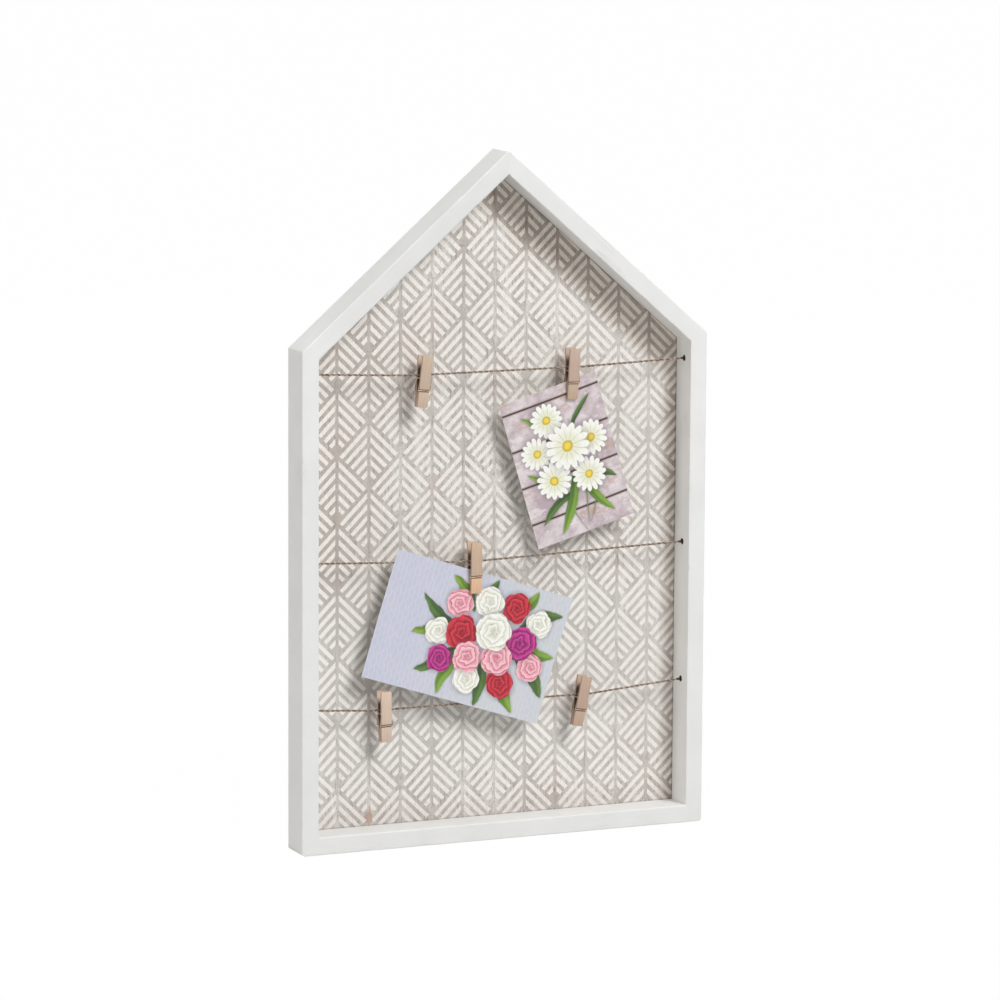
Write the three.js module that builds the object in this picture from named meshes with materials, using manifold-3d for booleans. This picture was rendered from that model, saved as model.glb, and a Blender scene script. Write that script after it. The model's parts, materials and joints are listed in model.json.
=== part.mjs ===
// Wooden memo board: a house-shaped shadow-box frame with a printed back panel,
// three jute lines strung across it and five small spring pegs, two of them holding cards.
// Millimetres, +Z up, the front faces -Y, and the origin is under the middle of the board.

import * as THREE from 'three';
import { mergeVertices } from 'three/addons/utils/BufferGeometryUtils.js';
import Module from 'manifold-3d';

const wasm = await Module();
wasm.setup();

// Frame rails
const frameWidth = 300;
const eaveHeight = 344;
const apexHeight = 474;
const railFace = 12.2;
const railDepth = 26;
const railArris = 0.8;
const cornerRound = 3;
const mitreGap = 0.2;

// Back panel and the rabbet that it lies in
const panelThickness = 2.5;
const panelRecess = 0.7;
const rabbetWidth = 5;
const panelSideFit = 0.4;
const seatGap = 0.2;

// Panel pins
const pinRadius = 0.6;
const pinBite = 8;
const pinHeadRadius = 1.3;
const pinHeadThickness = 0.4;
const pinHeadSeat = 0.1;
const pinFromCorner = 80;
const pinFit = 0.15;

// V-nails across the mitres
const cornerNailLeg = 4;
const cornerNailThickness = 0.5;
const cornerNailDepth = 6;
const cornerNailFromCorner = 2.5;
const cornerNailFit = 0.15;

// Sawtooth hanger and its nails
const hangerNailHalfSpan = 14.5;
const hangerHeight = 7;
const hangerThickness = 0.8;
const hangerRise = 1.6;
const hangerSeat = 0.1;
const hangerNailFromRoof = 4.5;
const hangerBowHalf = 9;
const hangerBowRamp = 2.5;
const hangerToothPitch = 2.4;
const hangerToothDepth = 1.2;
const hangerNailRadius = 0.7;
const hangerNailLength = 9;
const hangerNailHeadRadius = 1.6;
const hangerNailHeadThickness = 0.7;

// Twine and the blind holes that hold its ends
const twineRadius = 0.75;
const twineSetback = 10.8;
const twineSides = 8;
const twineSteps = 26;
const twineLevelReach = 8;
const holeRadius = 2.2;
const holeDepth = 8;
const holeEndGap = 0.3;
const plugLength = 4;
const plugFit = 0.2;

// Pegs: heights are measured from the handle tips, spans across both prongs
const pegLength = 35;
const pegWidth = 7.6;
const coilFromTop = 16.7;
const wireFromTop = 23.6;
const handleTipGap = 6.2;
const handleTipThickness = 1.65;
const coilNotchDepth = 0.35;
const jawThickness = 2.55;
const jawFlatLength = 9;
const jawGap = 0.2;
const jawNose = 0.6;

// Wire spring of a peg
const wireRadius = 0.4;
const coilTurnGap = 0.45;
const coilCloseTurns = 3;
const coilWholeTurns = 4;
const stepsPerTurn = 8;
const wireSides = 5;
const wireBend = 0.9;
const wireTail = 1;
const wireFit = 0.15;
const wireGrooveDepth = 0.7;
const coilNotchFit = 0.25;

// How a peg hangs on its twine and how it grips a card
const twineCoilClear = 0.8;
const twineCardClear = 0.2;
const twineProngClear = 0.05;
const cardThickness = 0.25;
const cardFit = 0.1;

// The three lines: the drop from the eaves to each hole and to where the pegs pull the line level
const twineDrops = {
  top: { leftHole: 17, rightHole: 18.6, hang: 20.9 },
  middle: { leftHole: 145.4, rightHole: 146.9, hang: 150.9 },
  bottom: { leftHole: 246.2, rightHole: 243.8, hang: 249.3 },
};

// The cards: outer size, turn in the plane of the board, place of the peg along the top edge
// and depth of that edge below the peg's coil
const cards = {
  card_portrait: { width: 74, height: 105, turn: 16.9, gripFromLeft: 56, gripBelowCoil: 4.9 },
  card_landscape: { width: 137, height: 90, turn: -18.1, gripFromLeft: 59.3, gripBelowCoil: 2.9 },
};

// The pegs: the line each hangs on, its place along the line and its lean to the right
const pegs = [
  { name: 'peg_1', row: 'top', across: -57.8, lean: 5.3 },
  { name: 'peg_2', row: 'top', across: 52.4, lean: 1.6, card: 'card_portrait' },
  { name: 'peg_3', row: 'middle', across: -19.7, lean: -0.7, card: 'card_landscape' },
  { name: 'peg_4', row: 'bottom', across: -86, lean: -1.7 },
  { name: 'peg_5', row: 'bottom', across: 61.5, lean: 10.1 },
];

// Depth planes: the hanger's bow is the rearmost point, and the depth is centred on Y = 0
const hangerStand = hangerSeat + hangerRise + hangerThickness;
const frontY = -(railDepth + hangerStand) / 2;
const backY = frontY + railDepth;
const panelBackY = backY - panelRecess;
const panelFrontY = panelBackY - panelThickness;
const shoulderY = panelFrontY - seatGap;
const twineY = frontY + twineSetback;
const pegForward = cardThickness / 2 + twineCardClear + twineRadius;
const pegY = twineY - pegForward;
const innerHalfWidth = frameWidth / 2 - railFace;
const cutMargin = 1;
const shapeSegments = 4;
const nailSides = 12;
const holeSides = 16;

// Heights of the three lines above the standing surface
const twineRows = Object.fromEntries(Object.entries(twineDrops).map(([name, drop]) => [name, {
  leftHole: eaveHeight - drop.leftHole,
  rightHole: eaveHeight - drop.rightHole,
  hang: eaveHeight - drop.hang,
}]));

// Materials
const finish = (color, roughness, metalness = 0) =>
  new THREE.MeshStandardMaterial({ color, roughness, metalness });
const whitePaint = finish(0xe8e8e4, 0.55);
const printedBoard = finish(0xd8d1ca, 0.75);
const steel = finish(0xb9bcc0, 0.35, 0.9);
const brassPlate = finish(0xc2a765, 0.35, 0.9);
const jute = finish(0x977b60, 0.95);
const glue = finish(0xe6dfc8, 0.5);
const pegWood = finish(0xcfb699, 0.7);
const springWire = finish(0xb5b0a4, 0.35, 0.9);
const cardPaper = finish(0xd9d3dc, 0.5);

const board = new THREE.Group();

const axisX = new THREE.Vector3(1, 0, 0);
const axisY = new THREE.Vector3(0, 1, 0);
const axisZ = new THREE.Vector3(0, 0, 1);
const towardFront = new THREE.Vector3(0, -1, 0);

// Turns a closed geometry into a solid that can be joined and cut
function solidOf(geometry) {
  const bare = geometry.clone();
  bare.deleteAttribute('normal');
  bare.deleteAttribute('uv');
  const merged = mergeVertices(bare, 1e-4);
  const vertProperties = new Float32Array(merged.attributes.position.array);
  const triVerts = new Uint32Array(merged.index.array);
  return new wasm.Manifold(new wasm.Mesh({ numProp: 3, vertProperties, triVerts }));
}

// Turns a solid back into a geometry
function geometryOf(solid) {
  const mesh = solid.getMesh();
  const geometry = new THREE.BufferGeometry();
  geometry.setAttribute('position', new THREE.BufferAttribute(mesh.vertProperties, 3));
  geometry.setIndex(new THREE.BufferAttribute(mesh.triVerts, 1));
  geometry.computeVertexNormals();
  return geometry;
}

function addPiece(name, geometry, material, parent = board) {
  const mesh = new THREE.Mesh(geometry, material);
  mesh.name = name;
  parent.add(mesh);
  return mesh;
}

function polygon(points) {
  return new THREE.Shape(points.map(([x, y]) => new THREE.Vector2(x, y)));
}

function prism(shape, depth) {
  return new THREE.ExtrudeGeometry(shape, { depth, bevelEnabled: false, curveSegments: shapeSegments });
}

// Places a prism: its shape's x and y and its depth go along the three given directions
function placed(geometry, alongX, alongY, alongDepth, origin) {
  const matrix = new THREE.Matrix4().makeBasis(alongX, alongY, alongDepth);
  matrix.setPosition(origin);
  return geometry.clone().applyMatrix4(matrix);
}

// A rod along Y from startY to endY
function rodAlongY(radius, startY, endY, x, z) {
  const rod = new THREE.CylinderGeometry(radius, radius, endY - startY, nailSides);
  return rod.translate(x, (startY + endY) / 2, z);
}

// The house outline, clockwise seen from the front, as corners of a rail ring
const corners = [
  new THREE.Vector3(-frameWidth / 2, 0, 0),
  new THREE.Vector3(-frameWidth / 2, 0, eaveHeight),
  new THREE.Vector3(0, 0, apexHeight),
  new THREE.Vector3(frameWidth / 2, 0, eaveHeight),
  new THREE.Vector3(frameWidth / 2, 0, 0),
];
const railNames = ['left_side_rail', 'left_roof_rail', 'right_roof_rail', 'right_side_rail', 'bottom_rail'];
const cornerNames = ['bottom_left', 'left_eave', 'apex', 'right_eave', 'bottom_right'];

// One record for each rail: its run, its length and the direction into the frame
const rails = railNames.map((name, i) => {
  const start = corners[i];
  const end = corners[(i + 1) % corners.length];
  const run = end.clone().sub(start);
  const length = run.length();
  run.normalize();
  const inward = new THREE.Vector3(run.z, 0, -run.x);
  return { name, start, length, run, inward };
});

// Half the inside angle at each corner, and the inward bisector there
const mitres = corners.map((corner, i) => {
  const before = rails[(i + rails.length - 1) % rails.length];
  const after = rails[i];
  const halfAngle = before.run.clone().negate().angleTo(after.run) / 2;
  const inward = before.inward.clone().add(after.inward).normalize();
  return { name: cornerNames[i], corner, halfAngle, inward };
});

// A point on a rail: inset from its outer edge, distance along it and depth
function railPoint(rail, inset, along, y) {
  const point = rail.start.clone();
  point.addScaledVector(rail.inward, inset);
  point.addScaledVector(rail.run, along);
  point.y = y;
  return point;
}

// Section of a rail: x runs in from the outer edge, y runs back from the front face
function railSection() {
  const land = railFace - rabbetWidth;
  const shoulder = shoulderY - frontY;
  const section = new THREE.Shape();
  section.moveTo(railArris, 0);
  section.lineTo(railFace - railArris, 0);
  section.quadraticCurveTo(railFace, 0, railFace, railArris);
  section.lineTo(railFace, shoulder);
  section.lineTo(land, shoulder);
  section.lineTo(land, railDepth);
  section.lineTo(railArris, railDepth);
  section.quadraticCurveTo(0, railDepth, 0, railDepth - railArris);
  section.lineTo(0, railArris);
  section.quadraticCurveTo(0, 0, railArris, 0);
  return section;
}

// The block that the joined frame is sanded to: the house outline with its outer corners rounded
function sandedBlock() {
  const outline = new THREE.Shape();
  mitres.forEach(({ corner, halfAngle }, i) => {
    const reach = cornerRound / Math.tan(halfAngle);
    const before = corner.clone().addScaledVector(rails[(i + rails.length - 1) % rails.length].run, -reach);
    const after = corner.clone().addScaledVector(rails[i].run, reach);
    if (i === 0) outline.moveTo(before.x, before.z);
    else outline.lineTo(before.x, before.z);
    outline.quadraticCurveTo(corner.x, corner.z, after.x, after.z);
  });
  outline.closePath();
  const behind = new THREE.Vector3(0, backY + cutMargin, 0);
  return solidOf(placed(prism(outline, railDepth + 2 * cutMargin), axisX, axisZ, towardFront, behind));
}

// A rail is its section along its run, cut at both ends by the mitres
function railSolid(rail, startMitre, endMitre) {
  const front = new THREE.Vector3(rail.start.x, frontY, rail.start.z);
  const bar = placed(prism(railSection(), rail.length), rail.inward, axisY, rail.run, front);
  const mitreAt = ({ halfAngle }, inset) => inset / Math.tan(halfAngle) + mitreGap / 2 / Math.sin(halfAngle);
  const outside = -cutMargin;
  const inside = railFace + cutMargin;
  const between = polygon([
    [outside, mitreAt(startMitre, outside)],
    [inside, mitreAt(startMitre, inside)],
    [inside, rail.length - mitreAt(endMitre, inside)],
    [outside, rail.length - mitreAt(endMitre, outside)],
  ]);
  const behind = new THREE.Vector3(rail.start.x, backY + cutMargin, rail.start.z);
  const wedge = placed(prism(between, railDepth + 2 * cutMargin), rail.inward, rail.run, towardFront, behind);
  return solidOf(bar).intersect(solidOf(wedge));
}

// V-nail outline: the point looks to the corner, the legs open towards the inside of the frame
function cornerNailShape(leg, thickness) {
  const reach = Math.SQRT1_2;
  const half = thickness / 2;
  const tip = half / reach;
  const end = leg * reach;
  const edge = half * reach;
  return polygon([
    [0, -tip],
    [end + edge, end - edge],
    [end - edge, end + edge],
    [0, tip],
    [-end + edge, end + edge],
    [-end - edge, end - edge],
  ]);
}

// The nail, or the slot for it when a fit is given
function cornerNail(mitre, fit = 0) {
  const shape = cornerNailShape(cornerNailLeg + fit, cornerNailThickness + 2 * fit);
  const sideways = axisY.clone().cross(mitre.inward);
  const top = fit > 0 ? backY + cutMargin : backY - seatGap;
  const bottom = backY - seatGap - cornerNailDepth - fit;
  const origin = mitre.corner.clone().addScaledVector(mitre.inward, cornerNailFromCorner);
  origin.y = top;
  return placed(prism(shape, top - bottom), sideways, mitre.inward, towardFront, origin);
}

// Pins: two on each side rail and on the bottom rail, one in the middle of each roof rail
const pinInset = railFace - rabbetWidth / 2 + panelSideFit / 2;
const pinPlaces = rails.flatMap((rail) => {
  const nearEnds = [pinFromCorner, rail.length - pinFromCorner];
  const alongs = rail.name.includes('roof') ? [rail.length / 2] : nearEnds;
  return alongs.map((along) => ({ rail, point: railPoint(rail, pinInset, along, panelBackY) }));
});
const pinTipY = shoulderY - pinBite;

// The hanger sits at the height where its two nails meet the lands of the roof rails
const roofSlope = (apexHeight - eaveHeight) / (frameWidth / 2);
const roofSecant = Math.hypot(1, roofSlope);
const hangerZ = apexHeight - hangerNailHalfSpan * roofSlope - hangerNailFromRoof * roofSecant;
const hangerFrontY = backY + hangerSeat;
const hangerNailHeadY = hangerFrontY + hangerThickness + hangerSeat;
const hangerNailTipY = hangerNailHeadY - hangerNailLength;
const hangerNailSides = [-1, 1];

// Frame rails with their twine holes, nail slots and pin holes
function twineHole(side, z) {
  const hole = new THREE.CylinderGeometry(holeRadius, holeRadius, holeDepth + cutMargin, holeSides);
  hole.rotateZ(Math.PI / 2);
  return hole.translate(side * (innerHalfWidth + (holeDepth - cutMargin) / 2), twineY, z);
}

const sanded = sandedBlock();
rails.forEach((rail, i) => {
  const startMitre = mitres[i];
  const endMitre = mitres[(i + 1) % mitres.length];
  let solid = railSolid(rail, startMitre, endMitre).intersect(sanded);
  for (const mitre of [startMitre, endMitre]) {
    solid = solid.subtract(solidOf(cornerNail(mitre, cornerNailFit)));
  }
  for (const place of pinPlaces.filter((pin) => pin.rail === rail)) {
    const { x, z } = place.point;
    const hole = rodAlongY(pinRadius + pinFit, pinTipY - pinFit, shoulderY + cutMargin, x, z);
    solid = solid.subtract(solidOf(hole));
  }
  for (const row of Object.values(twineRows)) {
    if (rail.name === 'left_side_rail') solid = solid.subtract(solidOf(twineHole(-1, row.leftHole)));
    if (rail.name === 'right_side_rail') solid = solid.subtract(solidOf(twineHole(1, row.rightHole)));
  }
  if (rail.name.includes('roof')) {
    const side = Math.sign(rail.start.x + rail.run.x * rail.length / 2);
    const hole = rodAlongY(hangerNailRadius + pinFit, hangerNailTipY - pinFit, backY + cutMargin,
      side * hangerNailHalfSpan, hangerZ);
    solid = solid.subtract(solidOf(hole));
  }
  addPiece(rail.name, geometryOf(solid), whitePaint);
});

mitres.forEach((mitre) => {
  addPiece(`corner_nail_${mitre.name}`, cornerNail(mitre), steel);
});

// Back panel: the house outline set in to the rabbet, with a hole for each pin
const panelInset = railFace - rabbetWidth + panelSideFit;
const panelOutline = polygon(mitres.map((mitre) => {
  const point = mitre.corner.clone().addScaledVector(mitre.inward, panelInset / Math.sin(mitre.halfAngle));
  return [point.x, point.z];
}));
const panelOrigin = new THREE.Vector3(0, panelBackY, 0);
const panelSlab = placed(prism(panelOutline, panelThickness), axisX, axisZ, towardFront, panelOrigin);
let panelSolid = solidOf(panelSlab);
for (const { point } of pinPlaces) {
  const { x, z } = point;
  const hole = rodAlongY(pinRadius + pinFit, panelFrontY - cutMargin, panelBackY + cutMargin, x, z);
  panelSolid = panelSolid.subtract(solidOf(hole));
}
addPiece('back_panel', geometryOf(panelSolid), printedBoard);

// A headed nail pointing to the front: tip at the profile's start, flat head at its end
function headedNail(radius, length, headRadius, headThickness) {
  const point = 2 * radius;
  const profile = [
    [0, 0],
    [radius, point],
    [radius, length - headThickness],
    [headRadius, length - headThickness],
    [headRadius, length],
    [0, length],
  ].map(([x, y]) => new THREE.Vector2(x, y));
  return new THREE.LatheGeometry(profile, nailSides);
}

const pinLength = panelBackY + pinHeadSeat + pinHeadThickness - pinTipY;
pinPlaces.forEach(({ point }, i) => {
  const pin = headedNail(pinRadius, pinLength, pinHeadRadius, pinHeadThickness);
  addPiece(`panel_pin_${i + 1}`, pin.translate(point.x, pinTipY, point.z), steel);
});

// Sawtooth hanger: a bowed strip cut to an outline with round ends and a toothed lower edge
function hangerStrip() {
  const outer = hangerNailHalfSpan + hangerHeight;
  const low = 0;
  const high = hangerRise;
  const lowBack = hangerThickness;
  const highBack = hangerRise + hangerThickness;
  const foot = hangerBowHalf + hangerBowRamp;
  return polygon([
    [-outer, low], [-foot, low], [-hangerBowHalf, high], [hangerBowHalf, high], [foot, low], [outer, low],
    [outer, lowBack], [foot, lowBack], [hangerBowHalf, highBack], [-hangerBowHalf, highBack],
    [-foot, lowBack], [-outer, lowBack],
  ]);
}

function hangerOutline() {
  const half = hangerHeight / 2;
  const toothCount = 2 * Math.floor(hangerBowHalf / hangerToothPitch);
  const outline = new THREE.Shape();
  outline.absarc(-hangerNailHalfSpan, 0, half, Math.PI / 2, 3 * Math.PI / 2, false);
  for (let i = 0; i < toothCount; i += 1) {
    const left = (i - toothCount / 2) * hangerToothPitch;
    outline.lineTo(left, -half);
    outline.lineTo(left + hangerToothPitch / 2, -half + hangerToothDepth);
  }
  outline.lineTo(toothCount / 2 * hangerToothPitch, -half);
  outline.absarc(hangerNailHalfSpan, 0, half, -Math.PI / 2, Math.PI / 2, false);
  return outline;
}

const stripBottom = new THREE.Vector3(0, hangerFrontY, hangerZ - hangerHeight);
const strip = placed(prism(hangerStrip(), 2 * hangerHeight), axisX, axisY, axisZ, stripBottom);
const outlineBack = new THREE.Vector3(0, hangerFrontY + hangerStand + cutMargin, hangerZ);
const outlineDepth = hangerStand + 2 * cutMargin;
const outlineCut = placed(prism(hangerOutline(), outlineDepth), axisX, axisZ, towardFront, outlineBack);
let hangerSolid = solidOf(strip).intersect(solidOf(outlineCut));
for (const side of hangerNailSides) {
  const hole = rodAlongY(hangerNailRadius + pinFit, backY - cutMargin, hangerNailHeadY + cutMargin,
    side * hangerNailHalfSpan, hangerZ);
  hangerSolid = hangerSolid.subtract(solidOf(hole));
}
addPiece('sawtooth_hanger', geometryOf(hangerSolid), brassPlate);

hangerNailSides.forEach((side) => {
  const length = hangerNailLength + hangerNailHeadThickness;
  const nail = headedNail(hangerNailRadius, length, hangerNailHeadRadius, hangerNailHeadThickness);
  const name = side < 0 ? 'hanger_nail_left' : 'hanger_nail_right';
  addPiece(name, nail.translate(side * hangerNailHalfSpan, hangerNailTipY, hangerZ), brassPlate);
});

// Twine: level between its outermost pegs, rising from there to its two blind holes
function twineRoute(rowName) {
  const row = twineRows[rowName];
  const places = pegs.filter((peg) => peg.row === rowName).map((peg) => peg.across);
  const mouth = innerHalfWidth;
  const end = innerHalfWidth + holeDepth - holeEndGap;
  return [
    [-end, row.leftHole],
    [-mouth, row.leftHole],
    [Math.min(...places) - twineLevelReach, row.hang],
    [Math.max(...places) + twineLevelReach, row.hang],
    [mouth, row.rightHole],
    [end, row.rightHole],
  ].map(([x, z]) => new THREE.Vector3(x, twineY, z));
}

function twineGeometry(route) {
  const path = new THREE.CurvePath();
  for (let i = 1; i < route.length; i += 1) path.add(new THREE.LineCurve3(route[i - 1], route[i]));
  const section = new THREE.Shape();
  section.absarc(0, 0, twineRadius, 0, 2 * Math.PI, false);
  return new THREE.ExtrudeGeometry(section, {
    steps: twineSteps,
    extrudePath: path,
    curveSegments: twineSides / 2,
    bevelEnabled: false,
  });
}

// Glue plug: a ring round the twine's end, at the bottom of its hole
function gluePlug() {
  const inner = twineRadius + plugFit;
  const outer = holeRadius - plugFit;
  const profile = [[inner, 0], [outer, 0], [outer, plugLength], [inner, plugLength], [inner, 0]];
  const ring = new THREE.LatheGeometry(profile.map(([x, y]) => new THREE.Vector2(x, y)), nailSides);
  return ring.rotateZ(-Math.PI / 2);
}

for (const [rowName, row] of Object.entries(twineRows)) {
  addPiece(`twine_${rowName}`, twineGeometry(twineRoute(rowName)), jute);
  const bottom = innerHalfWidth + holeDepth - plugFit;
  const leftPlug = gluePlug().translate(-bottom, twineY, row.leftHole);
  const rightPlug = gluePlug().translate(bottom - plugLength, twineY, row.rightHole);
  addPiece(`glue_plug_${rowName}_left`, leftPlug, glue);
  addPiece(`glue_plug_${rowName}_right`, rightPlug, glue);
}

// Peg heights from the coil axis, up positive
const handleTipZ = coilFromTop;
const jawTipZ = coilFromTop - pegLength;
const wireZ = coilFromTop - wireFromTop;
const jawFlatZ = jawTipZ + jawFlatLength;

// The twine passes behind the card's plane, so the gap at the coil takes it off centre,
// and the coil fills that gap and the shallow notch in each prong
const coilHalfGap = pegForward + twineRadius + twineProngClear;
const coilNotchRadius = coilHalfGap + coilNotchDepth;
const coilRadius = coilNotchRadius - coilNotchFit - wireRadius;
const twineAboveCoil = coilRadius + wireRadius + twineCoilClear + twineRadius;

// Distance of a prong's outer face from the middle of the peg, straight from handle to jaw
function prongOuter(z, jawHalfGap) {
  const atHandle = handleTipGap / 2 + handleTipThickness;
  const atJaw = jawHalfGap + jawThickness;
  return THREE.MathUtils.mapLinear(z, jawTipZ, handleTipZ, atJaw, atHandle);
}

// Side view of a prong: x runs out from the middle of the peg, y runs up the prong
function prongProfile(jawHalfGap) {
  const notchEdgeZ = Math.sqrt(coilNotchRadius ** 2 - coilHalfGap ** 2);
  const notchAngle = Math.atan2(notchEdgeZ, coilHalfGap);
  const grooveHalf = wireRadius + wireFit;
  const grooveFloor = prongOuter(wireZ, jawHalfGap) - wireGrooveDepth;
  const profile = new THREE.Shape();
  profile.moveTo(jawHalfGap, jawFlatZ);
  profile.lineTo(jawHalfGap, jawTipZ + jawNose);
  profile.lineTo(jawHalfGap + jawNose, jawTipZ);
  profile.lineTo(prongOuter(jawTipZ, jawHalfGap), jawTipZ);
  profile.lineTo(prongOuter(wireZ - grooveHalf, jawHalfGap), wireZ - grooveHalf);
  profile.lineTo(grooveFloor, wireZ - grooveHalf);
  profile.lineTo(grooveFloor, wireZ + grooveHalf);
  profile.lineTo(prongOuter(wireZ + grooveHalf, jawHalfGap), wireZ + grooveHalf);
  profile.lineTo(prongOuter(handleTipZ, jawHalfGap), handleTipZ);
  profile.lineTo(handleTipGap / 2, handleTipZ);
  profile.lineTo(coilHalfGap, notchEdgeZ);
  profile.absarc(0, 0, coilNotchRadius, notchAngle, -notchAngle, true);
  profile.closePath();
  return profile;
}

// The rear prong; the front one is the same piece turned half round
function prongGeometry(jawHalfGap) {
  const origin = new THREE.Vector3(-pegWidth / 2, 0, 0);
  return placed(prism(prongProfile(jawHalfGap), pegWidth), axisY, axisZ, axisX, origin);
}

// Centre line of the spring: tail, groove, arm, coil, arm, groove, tail, in one wire.
// The front arm comes down the right side of the peg and the rear arm down the left side.
function springPath(jawHalfGap) {
  const side = pegWidth / 2 + wireFit + wireRadius;
  const wireOut = prongOuter(wireZ, jawHalfGap) - wireGrooveDepth + wireFit + wireRadius;
  const groove = new THREE.Vector3(0, -wireOut, wireZ);
  const toGroove = Math.atan2(groove.z, groove.y);
  const leave = toGroove - Math.acos(coilRadius / groove.length()) + 2 * Math.PI;
  const onCoil = (angle, x) =>
    new THREE.Vector3(x, coilRadius * Math.cos(angle), coilRadius * Math.sin(angle));
  const arm = groove.clone().sub(onCoil(leave, 0)).normalize();
  const bendCentre = groove.clone().addScaledVector(arm, -wireBend);
  bendCentre.x = side - wireBend;
  const frontHalf = [new THREE.Vector3(-pegWidth / 2 - wireTail, groove.y, groove.z)];
  const bendSteps = 3;
  for (let i = bendSteps; i >= 0; i -= 1) {
    const angle = (i / bendSteps) * (Math.PI / 2);
    const point = bendCentre.clone().addScaledVector(axisX, wireBend * Math.cos(angle));
    frontHalf.push(point.addScaledVector(arm, wireBend * Math.sin(angle)));
  }
  const sweep = 2 * leave - Math.PI + 2 * Math.PI * coilWholeTurns;
  const closeSweep = 2 * Math.PI * coilCloseTurns;
  const leadSweep = (sweep - closeSweep) / 2;
  const coilPitch = 2 * wireRadius + coilTurnGap;
  const coilHalf = coilPitch * coilCloseTurns / 2;
  const coil = [];
  const coilSteps = Math.round(sweep / (2 * Math.PI) * stepsPerTurn);
  for (let i = 0; i <= coilSteps; i += 1) {
    const turned = sweep * i / coilSteps;
    const fromMiddle = sweep / 2 - turned;
    const within = THREE.MathUtils.clamp(fromMiddle, -closeSweep / 2, closeSweep / 2);
    const lead = (fromMiddle - within) / leadSweep;
    const x = within / closeSweep * 2 * coilHalf + lead * (side - coilHalf);
    coil.push(onCoil(leave - turned, x));
  }
  const rearHalf = frontHalf.map((point) => new THREE.Vector3(-point.x, -point.y, point.z)).reverse();
  return [...frontHalf, ...coil, ...rearHalf];
}

// Least gap of a wire to itself, between points further apart along it than three diameters
function leastSelfGap(path) {
  let least = Infinity;
  path.forEach((from, i) => {
    let along = 0;
    for (let j = i + 1; j < path.length; j += 1) {
      along += path[j].distanceTo(path[j - 1]);
      if (along > 6 * wireRadius) least = Math.min(least, from.distanceTo(path[j]) - 2 * wireRadius);
    }
  });
  return least;
}

// A closed tube along a list of points, with a section that is carried along without twist
function tubeAlong(path, radius, sides) {
  const positions = [];
  const indices = [];
  const normal = new THREE.Vector3();
  path.forEach((point, i) => {
    const before = path[Math.max(i - 1, 0)];
    const after = path[Math.min(i + 1, path.length - 1)];
    const tangent = after.clone().sub(before).normalize();
    if (i === 0) normal.set(0, 0, 1);
    normal.addScaledVector(tangent, -normal.dot(tangent)).normalize();
    const binormal = tangent.clone().cross(normal);
    for (let s = 0; s < sides; s += 1) {
      const angle = 2 * Math.PI * s / sides;
      const rim = point.clone().addScaledVector(normal, radius * Math.cos(angle));
      rim.addScaledVector(binormal, radius * Math.sin(angle));
      positions.push(rim.x, rim.y, rim.z);
    }
  });
  for (let i = 1; i < path.length; i += 1) {
    for (let s = 0; s < sides; s += 1) {
      const next = (s + 1) % sides;
      const a = (i - 1) * sides + s;
      const b = (i - 1) * sides + next;
      const c = i * sides + s;
      const d = i * sides + next;
      indices.push(a, b, d, a, d, c);
    }
  }
  const last = (path.length - 1) * sides;
  for (let s = 1; s < sides - 1; s += 1) {
    indices.push(0, s + 1, s);
    indices.push(last, last + s, last + s + 1);
  }
  const geometry = new THREE.BufferGeometry();
  geometry.setAttribute('position', new THREE.Float32BufferAttribute(positions, 3));
  geometry.setIndex(indices);
  geometry.computeVertexNormals();
  return geometry;
}

// Card: a flat sheet in the plane of its peg's jaws, hung by a point of its top edge
function cardMesh(name, card, peg) {
  const sheet = new THREE.BoxGeometry(card.width, cardThickness, card.height);
  sheet.translate(card.width / 2 - card.gripFromLeft, 0, -card.height / 2);
  const mesh = addPiece(name, sheet, cardPaper);
  const grip = new THREE.Vector3(0, 0, -card.gripBelowCoil).applyEuler(peg.rotation);
  mesh.position.copy(peg.position).add(grip);
  mesh.rotation.y = -THREE.MathUtils.degToRad(card.turn);
}

const springGaps = [];
for (const { name, row, across, lean, card } of pegs) {
  const jawHalfGap = card ? cardThickness / 2 + cardFit : jawGap / 2;
  const tilt = THREE.MathUtils.degToRad(lean);
  const peg = new THREE.Group();
  const hang = new THREE.Vector3(across, pegY, twineRows[row].hang);
  peg.rotation.y = tilt;
  peg.position.copy(hang).sub(new THREE.Vector3(0, 0, twineAboveCoil).applyEuler(peg.rotation));
  board.add(peg);
  addPiece(`${name}_rear_prong`, prongGeometry(jawHalfGap), pegWood, peg);
  addPiece(`${name}_front_prong`, prongGeometry(jawHalfGap), pegWood, peg).rotation.z = Math.PI;
  const path = springPath(jawHalfGap);
  springGaps.push(leastSelfGap(path));
  addPiece(`${name}_spring`, tubeAlong(path, wireRadius, wireSides), springWire, peg);
  if (card) cardMesh(card, cards[card], peg);
}
console.log(`least gap of a spring wire to itself: ${Math.min(...springGaps).toFixed(3)} mm`);

export default board;
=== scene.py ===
# Memo board: a white house-shaped frame with a printed panel, three jute lines, five pegs and two cards.
# Metres, +Z up, front facing -Y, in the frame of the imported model.

import json
import math
import random

import bmesh
import bpy
from mathutils import Matrix, Vector, noise


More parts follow.
